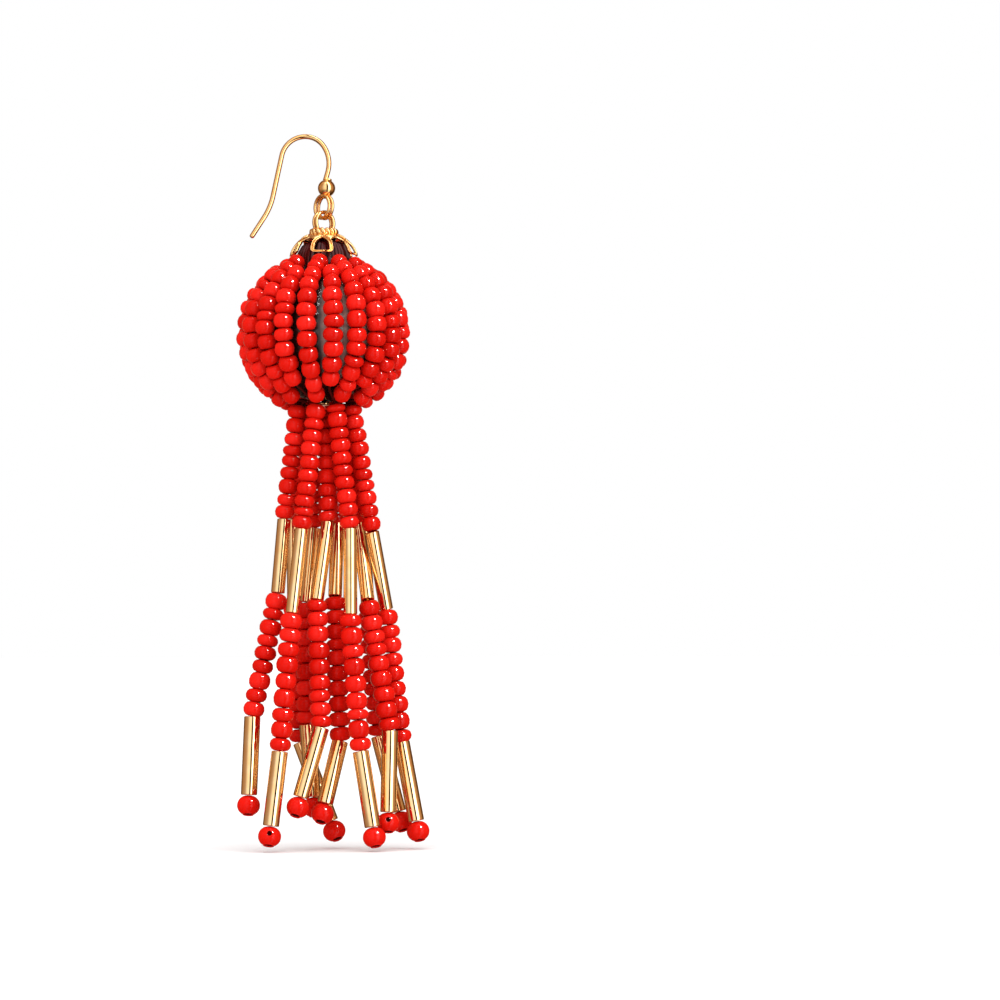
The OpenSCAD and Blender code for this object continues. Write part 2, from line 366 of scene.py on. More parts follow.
# %% Gold for the hook, the pin and the cap, and for the bugles


def gold_finish(name, base, roughness, uneven, redder, paler):
    material, graph, shader, mottle = start_finish(name, base, 1.0, roughness, uneven)
    graph.put(shader["Base Color"], graph.ramp(mottle, [(0.3, redder), (0.7, paler)]))
    return material


gold_plate = gold_finish("polished_gold_plate", (0.93, 0.56, 0.23), 0.08, (0.9, 0.30, 0.003, 0.05, 0.12),
                         (0.91, 0.51, 0.18), (0.95, 0.61, 0.28))
gold_bugle = gold_finish("metallic_bugle_gold", (0.93, 0.61, 0.30), 0.07, (0.5, 0.15, 0.002, 0.04, 0.10),
                         (0.92, 0.57, 0.25), (0.94, 0.66, 0.36))

# %% [markdown]
# ### Red glass
# No two beads are quite alike: each carries a number, tone, which shifts its red a little. Negative tones mark
# what has no gloss and is painted dark: the thread, a red one painted with the shade it lies in, and the walls of
# holes, painted with the shade inside them.

# %% Red glass for the beads
# Painted shade: the thread and the walls of holes get these dark tones
THREAD_SHADE_TONE = -0.95
INNER_THREAD_SHADE_TONE = -0.5
HOLE_SHADE_TONE = -0.85
END_BEAD_TONE = 0.6
DARK_ROUGHNESS = 0.9

red_glass, graph, shader, _ = start_finish("opaque_red_glass", (0.61, 0.007, 0.003), 0.0, 0.08,
                                           (0.6, 0.0, 0.010, 0.06, 0.12), specular=0.09)
tone = graph.node("ShaderNodeAttribute", {"attribute_name": "tone"}).outputs["Fac"]
# The lowest stops give the painted shade of thread and holes
tint = graph.ramp(graph.math("MULTIPLY_ADD", tone, 0.5, 0.5), [
    (0.0, (0.05, 0.002, 0.001)),
    (0.45, (0.26, 0.003, 0.002)),
    (0.5, (0.51, 0.005, 0.002)),
    (0.8, (0.61, 0.007, 0.003)),
    (1.0, (0.70, 0.012, 0.007)),
])
graph.put(shader["Base Color"], tint)
polish = shader["Roughness"].links[0].from_socket
dull = graph.math("MULTIPLY", graph.math("LESS_THAN", tone, -0.01), DARK_ROUGHNESS)
graph.put(shader["Roughness"], graph.math("MAXIMUM", dull, polish))

# %% [markdown]
# ### The core
# Turned wood with a satin varnish. Its colour carries painted shade: it is darkened to a red brown along each
# string and towards both ends of the ball, so it is paler only in the middle of each gap. The strings are about
# 18 degrees apart, so a cosine of the azimuth finds the gaps.

# %% Varnished wood for the core, with painted shade
GAPS_ROUND = 20.0
GAP_TURN = math.radians(10.5)
# Where the painted shade at the two ends begins, above and below the ball's centre, and how fast it deepens
END_SHADE_FROM = 7.6 * MM
END_SHADE = 0.6 / MM
STRING_SHADE = 0.42
EVEN_DARKENING = 0.36
MOTTLED_STAIN = 0.5

core_wood, graph, shader, mottle = start_finish("varnished_wood", (0.2, 0.12, 0.1), 0.0, 0.25,
                                                (0.7, 0.6, 0.010, 0.18, 0.30), specular=0.45)
place = graph.node("ShaderNodeTexCoord").outputs["Object"]
axes = graph.node("ShaderNodeSeparateXYZ", Vector=place).outputs
azimuth = graph.azimuth(graph.math("SUBTRACT", axes["X"], DROP_X), axes["Y"])
azimuth = graph.math("SUBTRACT", azimuth, GAP_TURN)
# Painted shade: darker along each string and towards both ends, with an even share and random mottle added
string_shade_mask = graph.math("COSINE", graph.math("MULTIPLY", azimuth, GAPS_ROUND))
rise = graph.math("ABSOLUTE", graph.math("SUBTRACT", axes["Z"], BALL_Z))
beyond = graph.math("SUBTRACT", rise, END_SHADE_FROM)
end_shade = graph.math("MAXIMUM", graph.math("MULTIPLY", beyond, END_SHADE), 0.0)
shade_and_mottle = graph.math("ADD", graph.math("MULTIPLY", string_shade_mask, STRING_SHADE), end_shade)
shade_and_mottle = graph.math("ADD", shade_and_mottle, EVEN_DARKENING)
shade_and_mottle = graph.math("ADD", shade_and_mottle, graph.math("MULTIPLY", mottle, MOTTLED_STAIN))
# From the pale wood to the dark red brown of the painted shade
graph.put(shader["Base Color"], graph.ramp(shade_and_mottle, [
    (0.12, (0.38, 0.25, 0.22)),
    (0.38, (0.19, 0.10, 0.08)),
    (0.62, (0.045, 0.012, 0.009)),
    (1.0, (0.016, 0.005, 0.004)),
]))
print("finishes:", [m.name for m in bpy.data.materials if m.users or m.node_tree])

# %% [markdown]
# ## Mesh helpers
# Wire, rings and frames are a section carried along a path, and a turned part is one carried round an axis.

# %% Sweep and lathe
UP = Vector((0, 0, 1))


class Shell:
    """Corner points and faces of one or more closed surfaces that become one piece."""

    def __init__(self):
        self.points = []
        self.faces = []

    def rings(self, rings, closed=False):
        """Joins rings of points, each with the same count, into a tube, with flat ends or with none."""
        base = len(self.points)
        count = len(rings[0])
        for ring in rings:
            self.points.extend(Vector(p) for p in ring)
        for i in range(len(rings) if closed else len(rings) - 1):
            here, there = base + i * count, base + (i + 1) % len(rings) * count
            for j in range(count):
                k = (j + 1) % count
                self.faces.append((here + j, here + k, there + k, there + j))
        if not closed:
            self.faces.append(tuple(base + j for j in reversed(range(count))))
            last = base + (len(rings) - 1) * count
            self.faces.append(tuple(last + j for j in range(count)))

    def build(self, name, material):
        mesh = bpy.data.meshes.new(name)
        mesh.from_pydata([tuple(p) for p in self.points], [], self.faces)
        surface = bmesh.new()
        surface.from_mesh(mesh)
        bmesh.ops.recalc_face_normals(surface, faces=surface.faces)
        surface.to_mesh(mesh)
        surface.free()
        mesh.materials.append(material)
        return smooth_piece(name, mesh)


def smooth_piece(name, mesh):
    """An object of a mesh, shaded smooth."""
    for face in mesh.polygons:
        face.use_smooth = True
    return add_object(name, mesh)


def set_tones(piece, tones):
    """Gives each corner of a piece its tone."""
    piece.data.attributes.new("tone", "FLOAT", "POINT").data.foreach_set("value", tones)


def arc(radius, angles, middle=(0.0, 0.0)):
    """Points of a profile on an arc, at angles in degrees from level."""
    return [(middle[0] + radius * math.cos(math.radians(a)), middle[1] + radius * math.sin(math.radians(a)))
            for a in angles]


def circle_section(radius, sides):
    return [(radius * math.cos(2 * math.pi * j / sides), radius * math.sin(2 * math.pi * j / sides))
            for j in range(sides)]


def sweep(shell, path, outward, section, closed=False, scales=None):
    """Carries a flat section along a path. outward gives, for each point, the direction of the section's second
    axis; the first axis lies across the path."""
    count = len(path)
    rings = []
    for i, point in enumerate(path):
        before = path[i - 1] if closed or i else path[i]
        after = path[(i + 1) % count] if closed or i < count - 1 else path[i]
        along = (after - before).normalized()
        out = outward[i] - along * outward[i].dot(along)
        out.normalize()
        across = out.cross(along)
        size = scales[i] if scales else 1.0
        rings.append([point + across * (a * size) + out * (b * size) for a, b in section])
    shell.rings(rings, closed=closed)


def lathe(shell, profile, centre, sides, axis=UP, closed=False, unit=MM):
    """Turns a profile of (radius, distance along the axis), in mm or another unit, round an axis."""
    turn = axis.to_track_quat("Z", "Y")
    shell.rings([[centre + turn @ Vector((x, y, rise * unit)) for x, y in circle_section(radius * unit, sides)]
                 for radius, rise in profile], closed=closed)


# %% [markdown]
# ## The ear hook
# One length of wire with a ball and two rings soldered under it. The wire is a sweep along the same arcs and
# straights as the solid model's, with a rounded tip. The ball has a small fillet where the wire enters it.

# %% Path of the wire
WIRE_R = 0.4 * MM
WIRE_SIDES = 20
# From the top of the arch: [turn in degrees, radius in mm], or with no turn [0, length]
FRONT_LEG = ((55, 3.5), (42, 5), (9, 6), (0, 1.3))
TAIL_LEG = ((78, 3.9), (0, 6.76), (-20.5, 10.6), (0, 3.9))
TURN_STEP = 3
STRAIGHT_PARTS = 4


def leg_path(steps, side):
    """The centre line of one leg from the top of the arch, and the direction in which it ends."""
    path = [Vector((0, 0, WIRE_R))]
    heading = 0.0
    for turn, size in steps:
        parts = math.ceil(abs(turn) / TURN_STEP) if turn else STRAIGHT_PARTS
        half = math.radians(turn / parts) / 2
        chord = 2 * size * MM * abs(math.sin(half)) if turn else size * MM / parts
        for _ in range(parts):
            heading += half
            path.append(path[-1] + Vector((math.cos(heading), 0, -math.sin(heading))) * chord)
            heading += half
    flip = Vector((side, 1, 1))
    return [p * flip for p in path], Vector((math.cos(heading), 0, -math.sin(heading))) * flip


front_path, front_end = leg_path(FRONT_LEG, 1)
tail_path, tail_end = leg_path(TAIL_LEG, -1)
print("wire ends at", [round(c / MM, 2) for c in front_path[-1]], "and", [round(c / MM, 2) for c in tail_path[-1]])

# %% Hook: wire, ball and two rings
HOOK_BALL = Vector((3.39, 0, -8.0)) * MM
HOOK_BALL_R = 1.4
RING_R = 0.27 * MM
RING_PARTS = 48
RING_SIDES = 14
RING_PITCH = 0.70 * MM
HOOK_RING = Vector((2.95, 0, -11.05)) * MM
PIN_RING = Vector((2.95, 0, -13.65)) * MM
HOOK_RING_R = 1.85 * MM
PIN_RING_R = 1.75 * MM
HOOK_YAW = -52
# The tail's rounded tip as (mm along it, scale), and profiles of (radius, height) in mm: the fillet where the wire
# enters the ball, and the solder between the ball and the rings
TIP = ((0.0, 1.0), (0.12, 0.96), (0.22, 0.83), (0.29, 0.6), (0.33, 0.3))
BALL_FILLET = [(0.49, 1.37), (0.435, 1.46), (0.41, 1.6), (0.3, 1.62)]
SOLDER = ((0.05, -0.42), (0.5, -0.36), (0.72, -0.2), (0.78, 0.0), (0.6, 0.2), (0.3, 0.3))
SOLDER_CENTRE = Vector((3.05, 0, -9.28)) * MM


def add_ring_pair(shell, centre, radius, yaw):
    """Two soldered rings side by side, in upright planes that are turned about the vertical."""
    across = Vector((math.cos(math.radians(yaw)), math.sin(math.radians(yaw)), 0))
    normal = Vector((-across.y, across.x, 0))
    for side in (-1, 1):
        middle = centre + normal * (side * RING_PITCH / 2)
        turns = [2 * math.pi * i / RING_PARTS for i in range(RING_PARTS)]
        out = [across * math.cos(t) + UP * math.sin(t) for t in turns]
        sweep(shell, [middle + o * radius for o in out], out, circle_section(RING_R, RING_SIDES), closed=True)


def build_hook():
    shell = Shell()
    tail = tail_path[:-1] + [tail_path[-1] - tail_end * ((TIP[-1][0] - r) * MM) for r, _ in TIP]
    path = tail[::-1] + front_path[1:]
    scales = [s for _, s in reversed(TIP)] + [1.0] * (len(path) - len(TIP))
    sweep(shell, path, [Vector((0, 1, 0))] * len(path), circle_section(WIRE_R, WIRE_SIDES), scales=scales)
    ball = arc(HOOK_BALL_R, (-88, *range(-84, 68, 6)))
    lathe(shell, ball + BALL_FILLET, HOOK_BALL, 40, axis=-front_end)
    lathe(shell, SOLDER, SOLDER_CENTRE, 24)
    add_ring_pair(shell, HOOK_RING, HOOK_RING_R, HOOK_YAW)
    return shell.build("wire_hook", gold_plate)


wire_hook = build_hook()
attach(wire_hook, "hook")
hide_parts("ear_hook")
print("hook faces:", len(wire_hook.data.polygons))

# %% [markdown]
# ## The pin and its rings
# The pin carries everything below the hook. Its double ring stands across the hook's, and its head is under the
# core.

# %% Pin
# Profiles of (radius, height) in mm: the collar under the rings, and the head, upwards from the shaft's foot
COLLAR = ((0.1, -0.2), (0.55, -0.12), (0.66, 0.08), (0.6, 0.3), (0.3, 0.42), (0.08, 0.46))
HEAD = [(0.3, 0.0), (0.88, 0.0), (0.95, 0.02), (0.95, 0.3), (0.86, 0.45), (0.5, 0.5), (0.4, 0.56)]
SHAFT_R = 0.4
FOOT_Z = BALL_Z - 11.35 * MM


def build_pin():
    shell = Shell()
    add_ring_pair(shell, PIN_RING, PIN_RING_R, HOOK_YAW + 90)
    top = PIN_RING.z - PIN_RING_R
    lathe(shell, COLLAR, Vector((DROP_X, 0, top)), 20)
    lathe(shell, HEAD + [(SHAFT_R, (top - FOOT_Z) / MM)], Vector((DROP_X, 0, FOOT_Z)), 24)
    return shell.build("ringed_pin", gold_plate)


ringed_pin = build_pin()
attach(ringed_pin, "drop")
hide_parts("eye_pin")
print("pin faces:", len(ringed_pin.data.polygons))

# %% [markdown]
# ## Geometry Nodes helpers
# What repeats is made by node trees: copies round an axis for the cap, beads along a thread, and tubes between
# two points. Each piece gives a tree its own values through the modifier.

# %% Build a tree, run it on an object and keep the result


class Tree(Graph):
    """A Geometry Nodes tree with named inputs. The first input is always the geometry."""

    def __init__(self, name, inputs):
        super().__init__(bpy.data.node_groups.new(name, "GeometryNodeTree"))
        face = self.group.interface
        face.new_socket("Geometry", in_out="INPUT", socket_type="NodeSocketGeometry")
        for label, kind in inputs.items():
            face.new_socket(label, in_out="INPUT", socket_type="NodeSocket" + kind)
        face.new_socket("Geometry", in_out="OUTPUT", socket_type="NodeSocketGeometry")
        self.given = self.node("NodeGroupInput").outputs

    def random(self, low, high, seed, step):
        """A random number for each element, of its own kind for each step."""
        node = self.node("FunctionNodeRandomValue", {"data_type": "FLOAT"})
        for socket, value in ((2, low), (3, high), (8, self.math("ADD", seed, step))):
            self.put(node.inputs[socket], value)
        return node.outputs[1]

    def random_vector(self, axes, reach, seed, step):
        """A vector node whose named axes are random, each from -reach to reach."""
        node = self.node("ShaderNodeCombineXYZ")
        for i, axis in enumerate(axes):
            self.put(node.inputs[axis], self.math("MULTIPLY", self.random(-1.0, 1.0, seed, step + i), reach))
        return node

    def finish(self, geometry):
        """Realize Instances and Set Material, so that the export finds plain geometry."""
        whole = self.made("GeometryNodeRealizeInstances", Geometry=geometry)
        self.node("NodeGroupOutput", Geometry=self.made("GeometryNodeSetMaterial", Geometry=whole,
                                                        Material=self.given["Material"]))


def evaluated_mesh(thing):
    """The mesh that an object's modifiers make of it."""
    bpy.context.view_layer.update()
    return bpy.data.meshes.new_from_object(thing.evaluated_get(bpy.context.evaluated_depsgraph_get()))


def run_tree(tree, name, source, values):
    """Runs a tree on a mesh with the given values and returns a plain mesh object."""
    carrier = add_object("carrier", source)
    modifier = carrier.modifiers.new("tree", "NODES")
    modifier.node_group = tree.group
    sockets = {s.name: s.identifier for s in tree.group.interface.items_tree if s.in_out == "INPUT"}
    for label, value in values.items():
        modifier[sockets[label]] = value
    mesh = evaluated_mesh(carrier)
    mesh.name = name
    bpy.data.objects.remove(carrier)
    return smooth_piece(name, mesh)


# %% [markdown]
# ## The cap
# Five petals round a twisted crown. A petal is a closed loop of double-ridged band on the cap's dome, a short arch
# with a thin bar across its foot. A crown bump is a slanted bead. A tree sets turned copies of each round the axis.

# %% Tree: turned copies round the upright axis


def build_ring_of_copies():
    tree = Tree("ring of copies", {"Count": "Int", "Radius": "Float", "Height": "Float", "Lean": "Float",
                                   "Turn": "Float", "Centre": "Vector", "Material": "Material"})
    given = tree.given
    points = tree.made("GeometryNodePoints", Count=given["Count"])
    index = tree.made("GeometryNodeInputIndex")
    share = tree.math("DIVIDE", tree.math("MULTIPLY", index, 2 * math.pi), given["Count"])
    angle = tree.math("ADD", share, given["Turn"])
    sideways, behind = [tree.math("MULTIPLY", tree.math(way, angle), given["Radius"]) for way in ("COSINE", "SINE")]
    spot = tree.made("ShaderNodeCombineXYZ", X=sideways, Y=behind, Z=given["Height"])
    turn = tree.made("ShaderNodeCombineXYZ", X=given["Lean"], Z=angle)
    copies = tree.made("GeometryNodeInstanceOnPoints", Points=points, Instance=given["Geometry"], Rotation=turn)
    tree.finish(tree.made("GeometryNodeSetPosition", Geometry=copies,
                          Position=tree.vector("ADD", spot, given["Centre"])))
    return tree


RING_OF_COPIES = build_ring_of_copies()

# %% One petal and one crown bump
DOME_INNER = 0.9
DOME_HEIGHT = 11.6
DOME_R = 4.62
BALL_CENTRE = Vector((DROP_X, 0, BALL_Z))
# Half of the petal's width at its foot and near its top, and where the foot, the shoulder and the top are, as
# angles on the dome's section
PETAL_HALF = 1.54
PETAL_NARROW = 1.35
PETAL_FOOT = 15.5
PETAL_SHOULDER = 31.0
PETAL_TOP = 58.0
PETALS = 5
CAP_TURN = -93.5
# The pointed openings between petals: the angles at which they begin to narrow and end
NOTCH_NARROWS = 43.0
NOTCH_TOP = 55.0
# The thin metal beside them: where it runs on the dome's section, and its outside and inside from the dome in mm
WEB_ANGLES = (42, 45, 48, 50, 52, 54, 56, 59)
WEB_SURFACES = (0.06, 0.06, -0.2, -0.2)


def on_dome(side, degrees):
    """A point on the dome, this many mm to the side of the +X meridian, and its outward direction."""
    t = math.radians(degrees)
    reach = DOME_INNER + DOME_R * math.cos(t)
    azimuth = side / reach
    out = Vector((math.cos(azimuth), math.sin(azimuth), 0))
    normal = out * math.cos(t) + Vector((0, 0, math.sin(t)))
    return (out * reach + Vector((0, 0, DOME_HEIGHT + DOME_R * math.sin(t)))) * MM, normal


def petal_outline():
    """Half of the petal's centre line, as (side, angle, band scale), from the middle of the foot to the top."""
    half = [(0.0, PETAL_FOOT, 0.5), (0.5, PETAL_FOOT, 0.5), (1.0, PETAL_FOOT, 0.55)]
    half += [(PETAL_HALF - 0.22, PETAL_FOOT + 0.4, 0.75), (PETAL_HALF, PETAL_FOOT + 3.5, 0.95)]
    for t in [i / 5 for i in range(1, 6)]:
        half.append((PETAL_HALF + (PETAL_NARROW - PETAL_HALF) * t * t * 0.6,
                     PETAL_FOOT + 3.5 + (PETAL_SHOULDER - PETAL_FOOT - 3.5) * t, 1.0))
    widest = half[-1][0]
    for t in [i / 10 for i in range(1, 11)]:
        half.append((widest * (1 - t ** 1.9), PETAL_SHOULDER + (PETAL_TOP - PETAL_SHOULDER) * t, 1.0))
    return half


# The band's section: (across, out) in mm, two round ridges with a groove between them
BAND = ((-0.33, -0.28), (-0.33, 0.02), (-0.30, 0.12), (-0.23, 0.17), (-0.16, 0.12), (-0.10, -0.02), (-0.06, -0.20),
        (0.06, -0.20), (0.10, -0.02), (0.16, 0.12), (0.23, 0.17), (0.30, 0.12), (0.33, 0.02), (0.33, -0.28))


def part_way(value, low, high):
    """How far a value is from low to high, from 0 to 1."""
    return min(max((value - low) / (high - low), 0), 1)


def add_web(shell, way):
    """The thin metal between a petal's leg and the pointed opening beside it."""
    rings = []
    for degrees in WEB_ANGLES:
        reach = DOME_INNER + DOME_R * math.cos(math.radians(degrees))
        inner = PETAL_NARROW * (1 - part_way(degrees, PETAL_SHOULDER, PETAL_TOP) ** 2.2)
        filled = part_way(degrees, NOTCH_NARROWS, NOTCH_TOP) ** 1.4
        edge = inner + 0.25 + (math.pi * reach / PETALS + 0.02 - inner - 0.25) * filled
        rows = [on_dome(way * side, degrees) for side in (inner + 0.15, edge)]
        rings.append([p + n * (out * MM) for out, (p, n) in zip(WEB_SURFACES, (*rows, *reversed(rows)))])
    shell.rings(rings)


def build_petal():
    shell = Shell()
    add_web(shell, 1)
    add_web(shell, -1)
    right = petal_outline()
    whole = right + [(-s, t, k) for s, t, k in reversed(right[1:-1])]
    placed = [on_dome(s, t) for s, t, _ in whole]
    section = [(a * MM, b * MM) for a, b in BAND]
    sweep(shell, [p for p, _ in placed], [n for _, n in placed], section, closed=True,
          scales=[k for _, _, k in whole])
    # The little ridge from the arch's top to the crown
    spine = [on_dome(0, t) for t in (52.5, 56, 61, 66, 72)]
    sweep(shell, [p + n * (0.1 * MM) for p, n in spine], [n for _, n in spine], circle_section(0.2 * MM, 10),
          scales=[0.35, 0.8, 1.0, 1.0, 0.9])
    # The drop of metal on the foot bar
    drop, _ = on_dome(0.3, PETAL_FOOT)
    lathe(shell, ((0.02, -0.2), (0.17, -0.13), (0.24, 0), (0.17, 0.13), (0.02, 0.2)), drop, 12,
          axis=Vector((0, 1, 0)))
    return shell.build("petal", gold_plate)


def build_crown_bump():
    shell = Shell()
    lathe(shell, [(0.40 * x, 0.66 * z) for x, z in arc(1, range(-80, 81, 20))], Vector((0, 0, 0)), 12)
    return shell.build("crown_bump", gold_plate)


# %% Cap: petals, crown and seat
CROWN_R = 1.98 * MM
CROWN_Z = 16.58 * MM
CROWN_BUMPS = 15
CROWN_LEAN = math.radians(38)
# The seat's dome, outside and inside, follows the petals' dome between these angles. Its collar carries the crown
# and is a profile of (radius, height above the ball's centre) in mm.
SEAT_OUTSIDE = 0.06, (57, 60, 63, 66, 70, 74)
SEAT_INSIDE = -0.22, (74, 69, 64, 59)
SEAT_COLLAR = [(2.12, 16.25), (2.1, 16.7), (1.95, 16.92), (1.76, 16.85), (1.68, 16.4), (1.66, 15.8), (1.2, 15.6),
               (0.84, 15.54), (0.82, 15.2), (1.2, 15.12), (1.9, 15.16)]


def join(name, pieces):
    """One object of several, with its mesh in place."""
    bpy.ops.object.select_all(action="DESELECT")
    for piece in pieces:
        piece.select_set(True)
    whole = bpy.context.view_layer.objects.active = pieces[0]
    bpy.ops.object.join()
    whole.name = whole.data.name = name
    return whole


def build_cap():
    rings = []
    for name, model, count, radius, height, lean in (
            ("petals", build_petal(), PETALS, 0.0, 0.0, 0.0),
            ("bumps", build_crown_bump(), CROWN_BUMPS, CROWN_R, CROWN_Z, CROWN_LEAN)):
        rings.append(run_tree(RING_OF_COPIES, name, model.data, {
            "Count": count, "Radius": radius, "Height": height, "Lean": lean, "Turn": math.radians(CAP_TURN),
            "Centre": BALL_CENTRE, "Material": gold_plate}))
        bpy.data.objects.remove(model)
    outside, inside = [arc(DOME_R + out, angles, (DOME_INNER, DOME_HEIGHT))
                       for out, angles in (SEAT_OUTSIDE, SEAT_INSIDE)]
    shell = Shell()
    lathe(shell, outside + SEAT_COLLAR + inside, BALL_CENTRE, 48, closed=True)
    return join("petal_cap", [*rings, shell.build("crown_seat", gold_plate)])


petal_cap = build_cap()
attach(petal_cap, "drop")
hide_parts("bead_cap")
print("cap faces:", len(petal_cap.data.polygons))

# %% [markdown]
# ## The core
# One turned profile: the ball, the short neck that stands up into the cap, and the bore for the pin.

# %% Core
CORE_R = 10.7
NECK_R = 3.3
NECK_TOP = 14.5
NECK_ROUNDING = 1.2
BORE_R = 0.8


def build_core():
    foot = math.sqrt(CORE_R ** 2 - NECK_R ** 2)
    profile = arc(CORE_R, range(-85, 70, 3))
    profile += [(NECK_R + 0.25, foot + 0.05), (NECK_R + 0.06, foot + 0.2), (NECK_R, foot + 0.45)]
    profile += arc(NECK_ROUNDING, range(0, 91, 15), (NECK_R - NECK_ROUNDING, NECK_TOP - NECK_ROUNDING))
    profile += [(BORE_R + 0.1, NECK_TOP), (BORE_R, NECK_TOP - 0.1), (BORE_R, 0.1 - CORE_R), (BORE_R + 0.05, -10.66)]
    shell = Shell()
    lathe(shell, profile, BALL_CENTRE, 72, closed=True)
    return shell.build("turned_core", core_wood)


turned_core = build_core()
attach(turned_core, "drop")
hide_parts("core_ball")
print("core faces:", len(turned_core.data.polygons))

# %% [markdown]
# ## Seed beads
# A seed bead is a short piece of glass tube, tumbled in the heat until its edges are round. One bead of about a
# hundred faces, dimpled round the thread, serves for all. The tree shares out a thread's length by random weights,
# so some beads are thin and some are tall, and yet they fill it exactly.

# %% The one bead, 1 m wide and 1 m tall before it is scaled
BEAD_SIDES = 12
BEAD_PROFILE = ((0.12, -0.43), (0.24, -0.5), (0.375, -0.42), (0.463, -0.25), (0.5, 0.0),
                (0.463, 0.25), (0.375, 0.42), (0.24, 0.5), (0.12, 0.43))


def build_unit_bead():
    shell = Shell()
    lathe(shell, BEAD_PROFILE, Vector((0, 0, 0)), BEAD_SIDES, unit=1)
    bead = shell.build("unit_bead", red_glass)
    scene.collection.objects.unlink(bead)
    return bead


unit_bead = build_unit_bead()
print("faces of a bead:", len(unit_bead.data.polygons))

# %% Tree: beads on a thread
INNER_THREAD_W = 0.5
BETWEEN_BEADS = 0.01
# By how much of its size a thin bead is shorter, and any bead at most slimmer
THINNER = 0.3
SLIMMER = 0.05


def build_bead_string():
    numbers = ("Middle Width", "End Width", "Narrows From", "Narrow By", "Length Spread", "Thin Share", "Wobble",
               "Tilt")
    tree = Tree("bead string", {"Bead": "Object", "Count": "Int", "Seed": "Int", "Material": "Material",
                                **dict.fromkeys(numbers, "Float")})
    given = tree.given
    seed, spread = given["Seed"], given["Length Spread"]
    route = tree.made("GeometryNodeMeshToCurve", Mesh=given["Geometry"])
    length = tree.made("GeometryNodeCurveLength", Curve=route)
    points = tree.made("GeometryNodePoints", Count=given["Count"])
    # Each bead's share of the thread, less for the thin ones
    weight = tree.random(tree.math("SUBTRACT", 1.0, spread), tree.math("ADD", 1.0, spread), seed, 1)
    thin = tree.math("LESS_THAN", tree.random(0.0, 1.0, seed, 2), given["Thin Share"])
    weight = tree.math("MULTIPLY", weight, tree.math("SUBTRACT", 1.0, tree.math("MULTIPLY", thin, THINNER)))
    so_far = tree.node("GeometryNodeAccumulateField", {"data_type": "FLOAT", "domain": "POINT"})
    tree.put(so_far.inputs[0], weight)
    before, total = so_far.outputs["Trailing"], so_far.outputs["Total"]
    middle = tree.math("DIVIDE", tree.math("ADD", before, tree.math("MULTIPLY", weight, 0.5)), total)
    pitch = tree.math("MULTIPLY", tree.math("DIVIDE", weight, total), length)
    tall = tree.math("SUBTRACT", pitch, BETWEEN_BEADS * MM)
    # Where the bead is, and which way its thread runs there
    sample = tree.node("GeometryNodeSampleCurve", {"mode": "FACTOR", "use_all_curves": False},
                       Curves=route, Factor=middle).outputs
    stray = tree.random_vector("XYZ", given["Wobble"], seed, 10)
    spot = tree.vector("ADD", sample["Position"], stray.outputs[0])
    placed = tree.made("GeometryNodeSetPosition", Geometry=points, Position=spot)
    straight = tree.made("FunctionNodeAlignRotationToVector", {"axis": "Z"}, Vector=sample["Tangent"])
    lean = tree.random_vector("XY", given["Tilt"], seed, 20)
    tree.put(lean.inputs["Z"], tree.random(-math.pi, math.pi, seed, 22))
    leaning = tree.made("FunctionNodeEulerToRotation", Euler=lean.outputs[0])
    turned = tree.made("FunctionNodeRotateRotation", {"rotation_space": "LOCAL"}, Rotation=straight,
                       Rotate_By=leaning)
    # Beads narrow away from the middle height, as near the two ends of the ball
    height = tree.node("ShaderNodeSeparateXYZ", Vector=sample["Position"]).outputs["Z"]
    away = tree.math("ABSOLUTE", tree.math("SUBTRACT", height, BALL_Z))
    narrowest = tree.math("ADD", given["Narrows From"], given["Narrow By"])
    width = tree.spread(away, given["Narrows From"], narrowest, given["Middle Width"], given["End Width"])
    width.node.interpolation_type = "SMOOTHSTEP"
    slimmer = tree.random(1.0 - SLIMMER, 1.0, seed, 30)
    wide = tree.math("MULTIPLY", width, slimmer)
    size = tree.made("ShaderNodeCombineXYZ", X=wide, Y=wide, Z=tall)
    bead = tree.node("GeometryNodeObjectInfo", Object=given["Bead"]).outputs["Geometry"]
    beads = tree.made("GeometryNodeInstanceOnPoints", Points=placed, Instance=bead, Rotation=turned, Scale=size)
    toned = tree.made("GeometryNodeStoreNamedAttribute", {"data_type": "FLOAT", "domain": "INSTANCE"},
                      Geometry=beads, Name="tone", Value=tree.random(0.0, 1.0, seed, 40))
    # The thread inside them, painted dark red with the shade between the beads
    section = tree.made("GeometryNodeCurvePrimitiveCircle", {"mode": "RADIUS"}, Resolution=6,
                        Radius=INNER_THREAD_W * MM / 2)
    thread = tree.made("GeometryNodeCurveToMesh", Curve=route, Profile_Curve=section, Fill_Caps=True)
    dark = tree.made("GeometryNodeStoreNamedAttribute", {"data_type": "FLOAT", "domain": "POINT"},
                     Geometry=thread, Name="tone", Value=INNER_THREAD_SHADE_TONE)
    both = tree.node("GeometryNodeJoinGeometry")
    for part in (dark, tree.made("GeometryNodeRealizeInstances", Geometry=toned)):
        tree.put(both.inputs[0], part)
    tree.finish(both.outputs[0])
    return tree


BEAD_STRING = build_bead_string()


def route_mesh(points):
    """A thread's route as a mesh of edges."""
    mesh = bpy.data.meshes.new("route")
    mesh.from_pydata([tuple(p) for p in points], [(i, i + 1) for i in range(len(points) - 1)], [])
    return mesh


